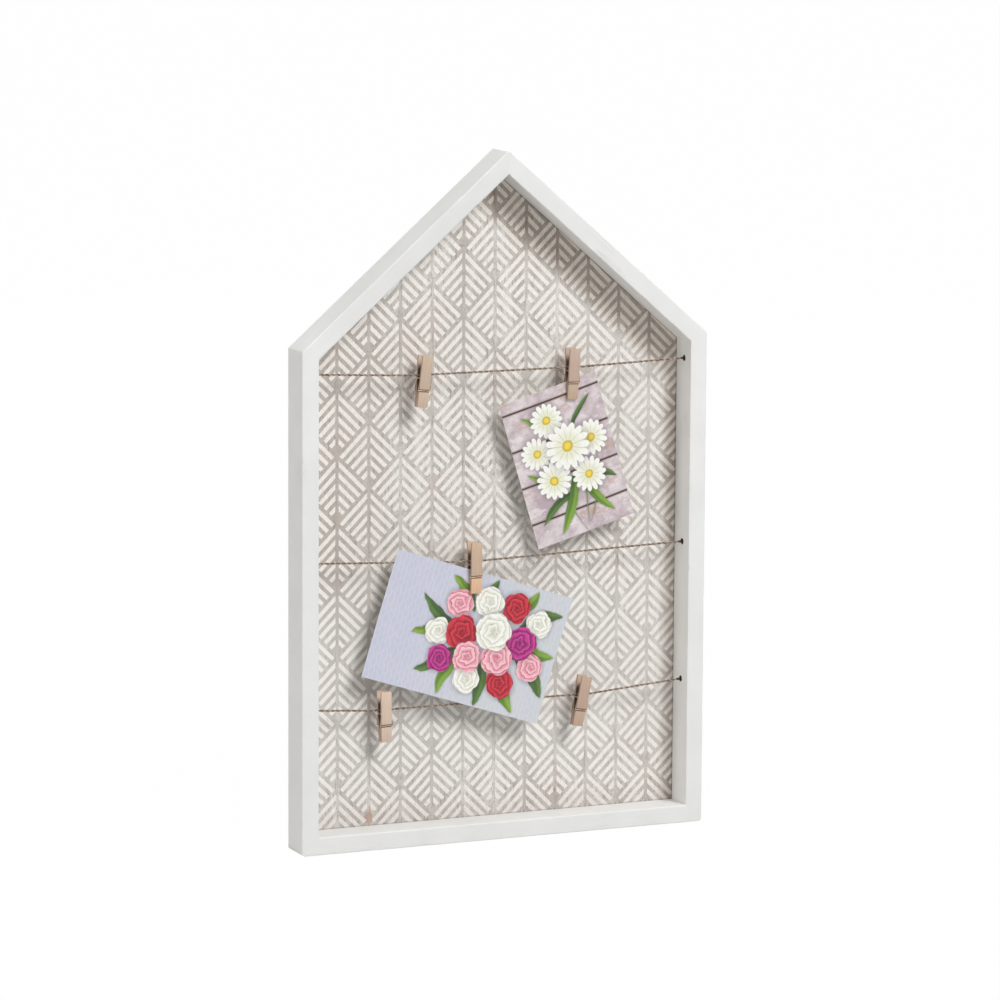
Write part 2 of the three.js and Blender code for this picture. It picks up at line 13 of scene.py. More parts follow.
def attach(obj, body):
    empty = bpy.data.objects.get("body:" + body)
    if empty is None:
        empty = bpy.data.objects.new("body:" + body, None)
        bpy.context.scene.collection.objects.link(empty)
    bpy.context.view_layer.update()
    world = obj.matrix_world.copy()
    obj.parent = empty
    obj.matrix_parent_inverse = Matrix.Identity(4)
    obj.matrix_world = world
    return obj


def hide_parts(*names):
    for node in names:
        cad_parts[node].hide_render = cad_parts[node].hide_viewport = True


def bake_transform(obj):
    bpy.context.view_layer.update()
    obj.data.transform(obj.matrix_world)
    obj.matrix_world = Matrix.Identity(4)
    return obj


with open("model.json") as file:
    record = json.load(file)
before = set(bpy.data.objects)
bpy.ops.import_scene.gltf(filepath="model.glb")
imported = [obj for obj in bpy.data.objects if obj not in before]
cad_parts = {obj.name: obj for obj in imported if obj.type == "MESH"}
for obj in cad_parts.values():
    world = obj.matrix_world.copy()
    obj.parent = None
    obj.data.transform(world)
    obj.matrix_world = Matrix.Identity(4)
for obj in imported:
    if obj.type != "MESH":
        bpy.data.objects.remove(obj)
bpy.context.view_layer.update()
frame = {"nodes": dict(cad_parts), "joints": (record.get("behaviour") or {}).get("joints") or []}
scene = bpy.context.scene

# Camera
# A long lens stands in front of the board, well to its left and a little above its middle,
# and leans over by a third of a degree, as the photograph shows.
camera_azimuth = math.radians(-23.862)
camera_elevation = math.radians(9.003)
camera_roll = math.radians(0.343)
camera_distance = 3.632149
camera_target = Vector((0.000441, -0.001255, 0.233786))
focal_pixels = 5318.374
picture_pixels = 1000

camera_data = bpy.data.cameras.new("camera")
camera_data.lens = focal_pixels / picture_pixels * camera_data.sensor_width
camera = bpy.data.objects.new("camera", camera_data)
scene.collection.objects.link(camera)
scene.camera = camera

level = math.cos(camera_elevation)
camera_back = Vector((math.sin(camera_azimuth) * level, -math.cos(camera_azimuth) * level,
                      math.sin(camera_elevation)))
camera_right = Vector((0, 0, 1)).cross(camera_back).normalized()
camera_up = camera_back.cross(camera_right)
rolled_right = math.cos(camera_roll) * camera_right + math.sin(camera_roll) * camera_up
rolled_up = math.cos(camera_roll) * camera_up - math.sin(camera_roll) * camera_right
camera.matrix_world = Matrix((rolled_right, rolled_up, camera_back)).transposed().to_4x4()
camera.location = camera_target + camera_distance * camera_back

# Studio
# A pale floor runs out into a white surround. A soft lamp stands high on the right, a faintly warm one
# fills from the left, one hangs over the roof and one lights the back.
surround_light = 0.28
floor_glow = 0.992
floor_grey = 206
floor_edge = 12
board_middle = Vector((0, 0, 0.237))
key_place = Vector((1.07, -2.8, 2.89))
key_size = 1.8
key_watts = 117
side_place = Vector((-3.2, -0.62, 0.6))
side_size = 1.2
side_watts = 20.7
side_tint = (1, 0.965, 0.92)
top_place = Vector((-0.7, 0.12, 2.9))
top_size = 1.2
top_watts = 18.6
back_place = Vector((0, 3, 0.3))
back_size = 1.4
back_watts = 36


class Shade:
    """One output of a material's nodes. Arithmetic on it adds Math nodes."""

    def __init__(self, tree, socket=None):
        self.tree = tree
        self.socket = socket

    def node(self, kind, settings=None, inputs=None, output=0):
        made = self.tree.nodes.new("ShaderNode" + kind)
        for name, value in (settings or {}).items():
            setattr(made, name, value)
        for key, value in (inputs or {}).items():
            if isinstance(value, Shade):
                self.tree.links.new(value.socket, made.inputs[key])
            else:
                made.inputs[key].default_value = value
        return Shade(self.tree, made.outputs[output])

    def math(self, operation, *others):
        return self.node("Math", {"operation": operation}, dict(enumerate((self, *others))))

    def __add__(self, other):
        return self.math("ADD", other)

    def __mul__(self, other):
        return self.math("MULTIPLY", other)

    __radd__ = __add__
    __rmul__ = __mul__

    def __sub__(self, other):
        return self.math("SUBTRACT", other)

    def __rsub__(self, other):
        return self.node("Math", {"operation": "SUBTRACT"}, {0: other, 1: self})

    def __mod__(self, other):
        return self.math("FLOORED_MODULO", other)

    def __pow__(self, other):
        return self.math("POWER", other)

    def __abs__(self):
        return self.math("ABSOLUTE")

    def rise(self, low, high):
        """A smooth step from 0 at low to 1 at high; it falls where low is the larger."""
        settings = {"interpolation_type": "SMOOTHSTEP"}
        return self.node("MapRange", settings, {"Value": self, "From Min": low, "From Max": high})

    def blend(self, first, second, how="MIX"):
        """The first colour where this is 0 and the second, or both mixed so, where it is 1."""
        settings = {"data_type": "RGBA", "blend_type": how}
        return self.node("Mix", settings, {0: self, 6: first, 7: second}, 2)

    def stretch(self, x, y, z):
        return self.node("VectorMath", {"operation": "MULTIPLY"}, {0: self, 1: (x, y, z)})

    def parts(self):
        split = self.node("SeparateXYZ", None, {0: self})
        return [Shade(self.tree, output) for output in split.socket.node.outputs]

    def cloud(self, scale, detail=2.0, roughness=0.5):
        """Soft noise from 0 to 1 at this place, with this many cells to a unit."""
        inputs = {"Vector": self, "Scale": scale, "Detail": detail, "Roughness": roughness}
        return self.node("TexNoise", None, inputs)

    def feed(self, socket):
        self.tree.links.new(self.socket, socket)


def tone(red, green, blue):
    """A colour given as it looks on a screen, 0 to 255, in linear light."""
    shares = [value / 255 for value in (red, green, blue)]
    return (*[s / 12.92 if s <= 0.04045 else ((s + 0.055) / 1.055) ** 2.4 for s in shares], 1)


def seen_by_eye(start):
    """1 on what the camera, a mirror or glass looks at, and 0 on what only lights the scene."""
    rays = [start.node("LightPath", None, None, f"Is {kind} Ray")
            for kind in ("Camera", "Glossy", "Transmission")]
    return (rays[0] + rays[1] + rays[2]).math("MINIMUM", 1)


world = bpy.data.worlds.new("surround")
scene.world = world
world.use_nodes = True
start = Shade(world.node_tree)
strength = seen_by_eye(start) * (1 - surround_light) + surround_light
background = world.node_tree.nodes["Background"]
background.inputs["Color"].default_value = (1, 1, 1, 1)
strength.feed(background.inputs["Strength"])

floor_mesh = bpy.data.meshes.new("floor")
floor_corners = [(-floor_edge, -floor_edge, 0), (floor_edge, -floor_edge, 0),
                 (floor_edge, floor_edge, 0), (-floor_edge, floor_edge, 0)]
floor_mesh.from_pydata(floor_corners, [], [(0, 1, 2, 3)])
floor = bpy.data.objects.new("floor", floor_mesh)
scene.collection.objects.link(floor)
floor_paint = bpy.data.materials.new("floor_paint")
floor_paint.use_nodes = True
start = Shade(floor_paint.node_tree)
matt = start.node("BsdfDiffuse", None, {"Color": tone(floor_grey, floor_grey, floor_grey)})
glow = start.node("Emission", None, {"Color": (1, 1, 1, 1), "Strength": 1})
surface = start.node("MixShader", None, {0: seen_by_eye(start) * floor_glow, 1: matt, 2: glow})
surface.feed(floor_paint.node_tree.nodes["Material Output"].inputs["Surface"])
floor_mesh.materials.append(floor_paint)


def soft_lamp(name, place, aim, size, watts, tint=(1, 1, 1)):
    data = bpy.data.lights.new(name, "AREA")
    data.shape = "DISK"
    data.size = size
    data.energy = watts
    data.color = tint
    lamp = bpy.data.objects.new(name, data)
    scene.collection.objects.link(lamp)
    lamp.location = place
    lamp.rotation_euler = (aim - place).to_track_quat("-Z", "Y").to_euler()
    lamp.visible_camera = False
    return lamp


soft_lamp("key_lamp", key_place, board_middle, key_size, key_watts)
soft_lamp("side_lamp", side_place, board_middle, side_size, side_watts, side_tint)
soft_lamp("top_lamp", top_place, board_middle, top_size, top_watts)
back_lamp = soft_lamp("back_lamp", back_place, board_middle, back_size, back_watts)
# the flat metal on the back would mirror this lamp as a glare
back_lamp.visible_glossy = False
scene.view_settings.view_transform = "Standard"

# Frame rails
# Five softwood rails with a rabbet behind, mitred, glued and sanded at the corners, and then brushed
# with white paint. The paint is rubbed along the edges and has fine cracks over the grain.
mm = 0.001
frame_width = 300 * mm
eave_height = 344 * mm
apex_height = 474 * mm
rail_face = 12.2 * mm
rail_depth = 26 * mm
rail_front = -14.25 * mm
rail_arris = 0.8 * mm
solid_joint_gap = 0.2 * mm
ring_spacing = 4 * mm
edge_rub = 0.3 * mm
edge_band = 1.8 * mm
edge_rub_length = 14 * mm
edge_rub_fade = 10 * mm
hole_radius = 2.2 * mm
hole_setback = 10.8 * mm
hole_end = 4 * mm
hole_slack = 0.05 * mm
weld_gap = 0.002 * mm
flat_degrees = 0.5
cut_slack = 0.01 * mm
rail_crease_degrees = 18
left_holes = (327 * mm, 198.6 * mm, 97.8 * mm)
right_holes = (325.4 * mm, 197.1 * mm, 100.2 * mm)
thin_coat_from = (344 * mm, 410 * mm)
thin_coat_to = (741 * mm, 690 * mm)
thinner_coat_to = (560 * mm, 500 * mm)
rubbed_width = (1.3 * mm, 0.35 * mm)
paint_relief = 0.12 * mm
wood_relief = 0.2 * mm
cells = 1 / mm


def new_finish(name, **constants):
    """A material, the start of its nodes and its shader, with the constants set on the shader."""
    made = bpy.data.materials.new(name)
    made.use_nodes = True
    shader = made.node_tree.nodes["Principled BSDF"]
    for socket, value in constants.items():
        shader.inputs[socket.replace("_", " ")].default_value = value
    return made, Shade(made.node_tree), shader


def add_relief(height, shader, depth, strength=1.0):
    inputs = {"Height": height, "Distance": depth, "Strength": strength}
    height.node("Bump", None, inputs).feed(shader.inputs["Normal"])


def white_paint_finish():
    made, start, shader = new_finish("white_paint")
    place = start.node("TexCoord", None, None, "Object")
    inset, back, along = place.parts()
    broad = place.cloud(0.03 * cells, 3)
    brushed = place.stretch(1, 1, 0.03).cloud(1.6 * cells, 3, 0.6)
    grain = place.stretch(1, 1, 0.02).cloud(0.55 * cells, 4, 0.65)
    colour = broad.rise(0.3, 0.7).blend(tone(228, 228, 226), tone(233, 233, 232))
    colour = (grain.rise(0.62, 0.8) * 0.35).blend(colour, tone(212, 210, 203))
    colour = (brushed.rise(0.35, 0.7) * 0.3).blend(colour, tone(236, 236, 235))
    # the roof rails, second and third along the run, have a thinner coat, the left one most of all
    thin_coat = along.rise(*thin_coat_from) * along.rise(*thin_coat_to)
    thin_coat = thin_coat * (along.rise(*thinner_coat_to) * 0.15 + 0.15)
    colour = thin_coat.blend(colour, tone(205, 205, 202))
    # fine cracks run along the grain in a few places
    vein = abs(place.stretch(1, 1, 0.07).cloud(0.3 * cells, 5, 0.6) - 0.5)
    crack = vein.rise(0.006, 0.001) * place.stretch(1, 1, 0.6).cloud(0.022 * cells, 1).rise(0.6, 0.7)
    colour = (crack * 0.42).blend(colour, tone(168, 164, 156))
    # the edges are rubbed thin here and there
    outer = inset.math("MAXIMUM", back)
    inner = (rail_face - inset).math("MAXIMUM", back)
    rear = inset.math("MAXIMUM", rail_depth - back)
    from_edge = outer.math("MINIMUM", inner).math("MINIMUM", rear)
    patchy = place.cloud(0.11 * cells, 4, 0.7)
    rubbed = from_edge.rise(*rubbed_width) * patchy.rise(0.56, 0.72)
    colour = (rubbed * 0.55).blend(colour, tone(204, 197, 186))
    # small dents and specks
    dent = place.cloud(0.45 * cells, 2).rise(0.74, 0.8)
    colour = (dent * 0.35).blend(colour, tone(196, 193, 186))
    colour.feed(shader.inputs["Base Color"])
    (brushed * 0.14 + 0.46).feed(shader.inputs["Roughness"])
    add_relief(grain * 0.5 + brushed * 0.35 - crack * 0.8 - dent * 0.5 - rubbed * 0.4, shader, paint_relief)
    return made


# bare wood of the drilled holes, its brown darkened to near black with painted shade for the inside of the
# holes
def bare_wood_and_shade_finish():
    made, start, shader = new_finish("bare_wood_and_shade", Roughness=0.9)
    place = start.node("TexCoord", None, None, "Object")
    fibre = place.cloud(0.9 * cells, 4, 0.7)
    colour = fibre.rise(0.3, 0.7).blend(tone(38, 26, 19), tone(84, 60, 42))
    colour.feed(shader.inputs["Base Color"])
    add_relief(fibre, shader, wood_relief)
    return made


def give(name, mesh, body, node, place=Matrix()):
    """Links a mesh at its place as a piece that stands for a solid and rides on a body, if one is named."""
    piece = bpy.data.objects.new(name, mesh)
    scene.collection.objects.link(piece)
    piece.matrix_world = place
    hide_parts(node)
    if body:
        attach(piece, body)
    return piece


def round_shading(mesh, angle=35):
    mesh.shade_smooth()
    mesh.set_sharp_from_angle(angle=math.radians(angle))


def finished_mesh(made, name, *materials):
    """The mesh of a finished shape, with its materials in the order of their numbers."""
    mesh = bpy.data.meshes.new(name)
    made.to_mesh(mesh)
    made.free()
    for material in materials:
        mesh.materials.append(material)
    return mesh


def solid_copy(node, place):
    """The solid of a node as a clean mesh in the local frame of place."""
    made = bmesh.new()
    made.from_mesh(frame["nodes"][node].data)
    made.transform(place.inverted())
    bmesh.ops.remove_doubles(made, verts=made.verts, dist=weld_gap)
    flat = math.radians(flat_degrees)
    bmesh.ops.dissolve_limit(made, angle_limit=flat, verts=made.verts, edges=made.edges)
    return made


corners = [Vector((-frame_width / 2, rail_front, 0)), Vector((-frame_width / 2, rail_front, eave_height)),
           Vector((0, rail_front, apex_height)), Vector((frame_width / 2, rail_front, eave_height)),
           Vector((frame_width / 2, rail_front, 0))]
rail_names = ["left_side_rail", "left_roof_rail", "right_roof_rail", "right_side_rail", "bottom_rail"]
rail_holes = {"left_side_rail": left_holes, "right_side_rail": [eave_height - z for z in right_holes]}
next_corners = [*corners[1:], corners[0]]
rail_runs = [(after - before).normalized() for before, after in zip(corners, next_corners)]
white_paint = white_paint_finish()
bare_wood_and_shade = bare_wood_and_shade_finish()


def rub_edge(vertex, from_cut):
    """Wears the front edges of a rail down a little, by an amount that changes along it."""
    inset = min(vertex.co.x, rail_face - vertex.co.x)
    reach = max(inset, vertex.co.y) / (1.01 * rail_arris)
    if reach > 1:
        return
    side = 1 if vertex.co.x < rail_face / 2 else -1
    worn = noise.noise(Vector((side, 0, vertex.co.z / edge_rub_length)))
    worn = max(worn, 0) * min(1, max(0, from_cut / edge_rub_fade))
    vertex.co += Vector((side, 1, 0)) * worn * edge_rub * (1 - 0.5 * reach)


def close_mitre(made, from_end, half_angle, sign):
    """Moves a mitred end up to its neighbour, because the paint fills the joint."""
    shift = solid_joint_gap / 2 / math.sin(half_angle)
    for vertex in made.verts:
        cut = vertex.co.x / math.tan(half_angle) + shift
        if abs(from_end(vertex.co.z) - cut) < cut_slack:
            vertex.co.z += sign * shift


run_so_far = 0
for i, name in enumerate(rail_names):
    run = rail_runs[i]
    length = (next_corners[i] - corners[i]).length
    inward = Vector((run.z, 0, -run.x))
    place = Matrix((inward, Vector((0, 1, 0)), run)).transposed().to_4x4()
    place.translation = corners[i] - run * run_so_far
    first = run_so_far
    last = run_so_far + length
    made = solid_copy(name, place)
    start_angle = (-rail_runs[i - 1]).angle(run) / 2
    end_angle = (-run).angle(rail_runs[(i + 1) % len(rail_runs)]) / 2
    close_mitre(made, lambda z: z - first, start_angle, -1)
    close_mitre(made, lambda z: last - z, end_angle, 1)
    slices = [((edge_band, 0, 0), (1, 0, 0)), ((rail_face - edge_band, 0, 0), (1, 0, 0)),
              ((0, edge_band, 0), (0, 1, 0))]
    for ring in range(1, int(length / ring_spacing)):
        slices.append(((0, 0, first + ring * ring_spacing), (0, 0, 1)))
    for point, normal in slices:
        everything = made.verts[:] + made.edges[:] + made.faces[:]
        bmesh.ops.bisect_plane(made, geom=everything, plane_co=point, plane_no=normal)
    for vertex in made.verts:
        inset = vertex.co.x
        from_start = vertex.co.z - first - inset / math.tan(start_angle)
        from_end = last - vertex.co.z - inset / math.tan(end_angle)
        rub_edge(vertex, min(from_start, from_end))
    for face in made.faces:
        middle = face.calc_center_median()
        # the walls of the twine holes take the bare wood with its painted shade
        for hole in rail_holes.get(name, ()):
            aside = math.hypot(middle.y - hole_setback, middle.z - first - hole)
            if aside < hole_radius + hole_slack and hole_end < middle.x < rail_face - hole_slack:
                face.material_index = 1
    mesh = finished_mesh(made, name + "_painted", white_paint, bare_wood_and_shade)
    round_shading(mesh, rail_crease_degrees)
    give(mesh.name, mesh, "frame", name, place)
    run_so_far = last

# Back panel
# A thin fibreboard panel in the rabbet. Its front is printed with leaves in off-white over a worn
# beige-grey ground; its back is bare brown board. The print is laid out in millimetres.
leaf_spine_x = 1.178
leaf_column = 23.245
leaf_top_z = 383.83
leaf_height = 45.93
leaf_slope = 0.992
leaf_turn = 0.0026
leaf_spine_half = 1.2
bar_pitch = 7.636
bar_thickness = 3.95
bar_start = 1.9
bar_end_gap = 1.8
bar_reach = 38.5
print_edge = 0.22
print_wobble = 0.5
print_relief = 0.1 * mm
roof_rise = apex_height - eave_height
roof_length = math.hypot(frame_width / 2, roof_rise)
# painted shade under the right-hand rails, multiplied into the ground and the ink
ground_shade = (0.67, 0.61, 0.575, 1)
ink_shade = (0.87, 0.84, 0.79, 1)
# painted shade at the foot of the panel, and painted shade with dirt in the joints
foot_shade = (0.89, 0.87, 0.88, 1)
joint_shade_and_dirt = (0.5, 0.45, 0.4, 1)
warm_left = (-50 * mm, -120 * mm)
warm_above = (80 * mm, 200 * mm)
pale_below = (200 * mm, 150 * mm)
pale_above = (20 * mm, 70 * mm)
pale_right = (20 * mm, 100 * mm)
pale_right_above = (180 * mm, 240 * mm)
pale_ink_left = (120 * mm, 60 * mm)
shade_by_side = (13 * mm, 4 * mm)
shade_stronger_above = (120 * mm, 280 * mm)
shade_by_roof = (30 * mm, 18 * mm)
foot_shade_height = (32 * mm, 14 * mm)
joint_line_width = (1.1 * mm, 0.2 * mm)
knot_at = (-92 * mm, 18 * mm)
knot_radius = 3.1 * mm
knot_stretch = 1.6


def around(u, v, at, radius):
    """Distance from a point, in radii, and the angle round it."""
    dx = u - at[0]
    dy = v - at[1]
    return (dx * dx + dy * dy) ** 0.5 * (1 / radius), dy.math("ARCTAN2", dx)


def leaf_bars(across, up):
    """1 on the printed bars: each leaf is a diamond with five chevrons hung from its spine."""
    mask = None
    for column, row in ((0, 0), (leaf_column, leaf_height / 2)):
        aside = abs((across - (leaf_spine_x + column - leaf_column)) % (2 * leaf_column) - leaf_column)
        below = (leaf_top_z + row - up) % leaf_height
        run_down = below - aside * leaf_slope
        from_bar = (run_down - (bar_start + bar_thickness / 2 - bar_pitch / 2)) % bar_pitch - bar_pitch / 2
        bars = abs(from_bar).rise(bar_thickness / 2 + print_edge, bar_thickness / 2 - print_edge)
        bars = bars * aside.rise(leaf_spine_half - print_edge, leaf_spine_half + print_edge)
        bars = bars * run_down.rise(bar_start - 2 * print_edge, bar_start)
        bars = bars * run_down.rise(bar_reach + print_edge, bar_reach - print_edge)
        to_vertex = leaf_height - bar_end_gap - below - aside * leaf_slope
        bars = bars * to_vertex.rise(-print_edge, print_edge)
        mask = bars if mask is None else mask.math("MAXIMUM", bars)
    return mask


def printed_board_finish():
    made, start, shader = new_finish("printed_board")
    place = start.node("TexCoord", None, None, "Object")
    wobble_x = place.cloud(0.5 * cells, 2)
    wobble_z = place.stretch(1, 1, 0.93).cloud(0.47 * cells, 2)
    x, y, z = place.parts()
    turn_x = cells * math.cos(leaf_turn)
    turn_z = cells * math.sin(leaf_turn)
    across = x * turn_x + z * turn_z + wobble_x * print_wobble - print_wobble / 2
    up = z * turn_x - x * turn_z + wobble_z * print_wobble - print_wobble / 2
    bars = leaf_bars(across, up)
    # the ground has the upright streaks and the warm patches of a weathered board
    streak = place.stretch(1, 1, 0.12).cloud(0.16 * cells, 4, 0.6)
    thread = place.stretch(1, 1, 0.07).cloud(0.8 * cells, 3, 0.65)
    blotch = place.stretch(1, 1, 0.6).cloud(0.045 * cells, 3, 0.6)
    fine = place.stretch(1, 1, 0.7).cloud(1.1 * cells, 3, 0.7)
    ground = streak.rise(0.3, 0.7).blend(tone(190, 184, 177), tone(222, 219, 213))
    ground = (blotch.rise(0.52, 0.72) * 0.6).blend(ground, tone(197, 183, 176))
    ground = (x.rise(*warm_left) * z.rise(*warm_above) * 0.65).blend(ground, tone(184, 173, 165))
    ground = (thread.rise(0.54, 0.68) * 0.75).blend(ground, tone(156, 147, 139))
    ground = (fine.rise(0.5, 0.7) * 0.7).blend(ground, tone(161, 152, 144))
    scuff = place.stretch(1, 1, 0.5).cloud(0.42 * cells, 5, 0.8)
    ground = (scuff.rise(0.53, 0.66) * 0.75).blend(ground, tone(156, 146, 137))
    ink = fine.rise(0.35, 0.65).blend(tone(244, 240, 235), tone(231, 225, 218))
    # both coats are paler low down, the ground also at the upper right; a knot shows at the foot
    pale = z.rise(*pale_below) * z.rise(*pale_above)
    pale_side = x.rise(*pale_right) * z.rise(*pale_right_above)
    ground = (pale.math("MAXIMUM", pale_side) * 0.35).blend(ground, tone(216, 212, 208))
    ink = (pale * x.rise(*pale_ink_left) * 0.5).blend(ink, tone(246, 244, 240))
    knot_middle = (knot_at[0], knot_at[1] / knot_stretch)
    knot = around(x, z * (1 / knot_stretch), knot_middle, knot_radius)[0] + scuff - 0.5
    ground = (knot.rise(1.3, 0.6) * 0.75).blend(ground, tone(188, 157, 138))

    def below_roof(aside):
        return ((apex_height - z) * (frame_width / 2) - aside * roof_rise) * (1 / roof_length) - rail_face

    # painted shade: both coats are darker along the right side rail and under the right roof rail, where
    # the rails cast their shade
    from_right = frame_width / 2 - rail_face - x
    painted_shade = from_right.rise(*shade_by_side) * (z.rise(*shade_stronger_above) * 0.35 + 0.65)
    painted_shade = painted_shade.math("MAXIMUM", below_roof(x).rise(*shade_by_roof))
    ground = painted_shade.blend(ground, ground_shade, "MULTIPLY")
    ink = painted_shade.blend(ink, ink_shade, "MULTIPLY")
    worn = place.stretch(1, 1, 0.3).cloud(0.6 * cells, 5, 0.75).rise(0.54, 0.72)
    front = (bars * (1 - worn * 0.65)).blend(ground, ink)
    # painted shade at the foot, by the bottom rail, and a thin dark line in the joint between the panel and
    # the rails: painted shade in the gap, with dirt
    front = z.rise(*foot_shade_height).blend(front, foot_shade, "MULTIPLY")
    aside = abs(x)
    side_gap = (frame_width / 2 - aside).math("MINIMUM", z) - rail_face
    gap = below_roof(aside).math("MINIMUM", side_gap)
    front = (gap.rise(*joint_line_width) * 0.6).blend(front, joint_shade_and_dirt, "MULTIPLY")
    # bare board on the back and the edges
    fibre = place.cloud(0.8 * cells, 5, 0.75)
    board = fibre.rise(0.3, 0.7).blend(tone(133, 99, 68), tone(168, 132, 95))
    chip = place.stretch(1, 1, 0.5).cloud(0.28 * cells, 3, 0.6)
    board = (chip.rise(0.58, 0.7) * 0.5).blend(board, tone(112, 80, 54))
    board = (blotch.rise(0.45, 0.65) * 0.4).blend(board, tone(176, 142, 106))
    facing = start.node("NewGeometry", None, None, "True Normal").parts()[1]
    printed = facing.rise(-0.5, -0.6)
    printed.blend(board, front).feed(shader.inputs["Base Color"])
    (0.78 - bars * printed * 0.16).feed(shader.inputs["Roughness"])
    add_relief(bars * printed * 0.25 + fibre * 0.25 + streak * 0.4, shader, print_relief)
    return made


def dress(node, material):
    for piece_slot in frame["nodes"][node].material_slots:
        piece_slot.material = material


dress("back_panel", printed_board_finish())

# Fasteners behind
# Bright steel V-nails bridge the mitres and small steel pins hold the panel; a pressed hanger with a
# toothed edge is nailed across the peak, and its two nails are brass-plated like itself.
panel_pins = 8
corner_names = ("bottom_left", "left_eave", "apex", "right_eave", "bottom_right")


def metal_finish(name, light, dark, roughness):
    made, start, shader = new_finish(name, Metallic=1.0)
    place = start.node("TexCoord", None, None, "Object")
    tarnish = place.cloud(0.35 * cells, 4, 0.7)
    scratch = place.stretch(1, 1, 0.08).cloud(3 * cells, 2)
    colour = tarnish.rise(0.35, 0.75).blend(light, dark)
    colour.feed(shader.inputs["Base Color"])
    (tarnish * 0.25 + scratch * 0.12 + (roughness - 0.18)).feed(shader.inputs["Roughness"])
    add_relief(scratch * 0.6 + tarnish * 0.4, shader, 0.02 * mm)
    return made


steel = metal_finish("steel", tone(198, 200, 203), tone(150, 150, 150), 0.38)
brass_plate = metal_finish("brass_plate", tone(206, 178, 112), tone(158, 130, 78), 0.36)
for corner_name in corner_names:
    dress("corner_nail_" + corner_name, steel)
for pin in range(1, panel_pins + 1):
    dress(f"panel_pin_{pin}", steel)
for node in ("sawtooth_hanger", "hanger_nail_left", "hanger_nail_right"):
    dress(node, brass_plate)

# Twine lines
# Three lines of two-ply jute, each pushed into a blind hole at both ends and held there by a plug
# of glue. The pegs' weight pulls each line a little down, and loose fibres stand off it. The routes and
# the free stretches are in millimetres.
twine_y = -3.45 * mm
ply_offset = 0.44 * mm
ply_radius = 0.43 * mm
twist_pitch = 8 * mm
twine_step = 0.45 * mm
twine_easings = 20
slack_length = 7 * mm
slub_length = 3.5 * mm
jute_relief = 0.12 * mm
ply_sides = 8
twine_routes = {
    "top": ((-145.5, 327), (-137.8, 327), (-65.8, 323.1), (60.4, 323.1), (137.8, 325.4), (145.5, 325.4)),
    "middle": ((-145.5, 198.6), (-137.8, 198.6), (-27.7, 193.1), (-11.7, 193.1), (137.8, 197.1),
               (145.5, 197.1)),
    "bottom": ((-145.5, 97.8), (-137.8, 97.8), (-94, 94.7), (69.5, 94.7), (137.8, 100.2), (145.5, 100.2)),
}
# stretches of each line that no peg can reach, where fibres may stand off
free_stretches = {"top": ((-137, -131), (-10, 24), (92, 137)),
                  "middle": ((-137, -40), (12, 137)),
                  "bottom": ((-137, -133), (-70, 45), (110, 137))}
fibres_to_mm = 0.55
fibre_radius = 0.035 * mm
fibre_steps = 6
fibre_sides = 3
fibre_lengths = (1.5 * mm, 4.5 * mm)
fibre_lifts = (0.3 * mm, 1.3 * mm)
fibre_sways = (-0.5 * mm, 0.5 * mm)
fibre_arcs = (1.9, 2.1)
fibre_root = 0.55 * mm
shaded_end = (132 * mm, 136.5 * mm)


def jute_finish():
    made, start, shader = new_finish("jute", Roughness=0.95, Specular_IOR_Level=0.15)
    place = start.node("TexCoord", None, None, "Object")
    strand = place.stretch(0.25, 1, 1).cloud(3.2 * cells, 4, 0.7)
    slub = place.cloud(0.25 * cells, 3, 0.6)
    colour = strand.rise(0.32, 0.68).blend(tone(100, 83, 72), tone(214, 195, 178))
    colour = (slub.rise(0.5, 0.7) * 0.7).blend(colour, tone(218, 202, 186))
    colour = (slub.rise(0.48, 0.3) * 0.7).blend(colour, tone(106, 87, 75))
    # painted shade between the two plies, carried by the groove attribute
    groove = start.node("Attribute", {"attribute_name": "groove"}, None, "Fac")
    colour = (groove * (1.25 - slub)).blend(colour, tone(52, 38, 30))
    # painted shade: the ends are dark where they go into the holes in the rails
    from_middle = abs(place.parts()[0])
    colour = (from_middle.rise(*shaded_end) * 0.85).blend(colour, tone(70, 48, 38))
    colour.feed(shader.inputs["Base Color"])
    add_relief(strand, shader, jute_relief)
    return made


def add_tube(made, points, radii, sides):
    """Adds a closed tube along the points; its section is carried along without twist."""
    normal = Vector((0.03, 0.05, 1))
    rings = []
    for i, point in enumerate(points):
        tangent = (points[min(i + 1, len(points) - 1)] - points[max(i - 1, 0)]).normalized()
        normal = (normal - tangent * normal.dot(tangent)).normalized()
        binormal = tangent.cross(normal)
        angles = [2 * math.pi * side / sides for side in range(sides)]
        rings.append([made.verts.new(point + radii[i] * (math.cos(a) * normal + math.sin(a) * binormal))
                      for a in angles])
    for before, after in zip(rings, rings[1:]):
        for side in range(sides):
            next_side = (side + 1) % sides
            made.faces.new((before[side], before[next_side], after[next_side], after[side]))
    made.faces.new(rings[0][::-1])
    made.faces.new(rings[-1])
    return rings


def twine_centre(route):
    """Evenly spaced points along a route, with the corners of the route eased."""
    stops = [Vector((x * mm, twine_y, z * mm)) for x, z in route]
    points = []
    for start_at, end_at in zip(stops, stops[1:]):
        count = round((end_at - start_at).length / twine_step)
        points += [start_at.lerp(end_at, i / count) for i in range(count)]
    points.append(stops[-1])
    for easing in range(twine_easings):
        inner = [(before + 2 * here + after) / 4
                 for before, here, after in zip(points, points[1:], points[2:])]
        points = [points[0], *inner, points[-1]]
    return points


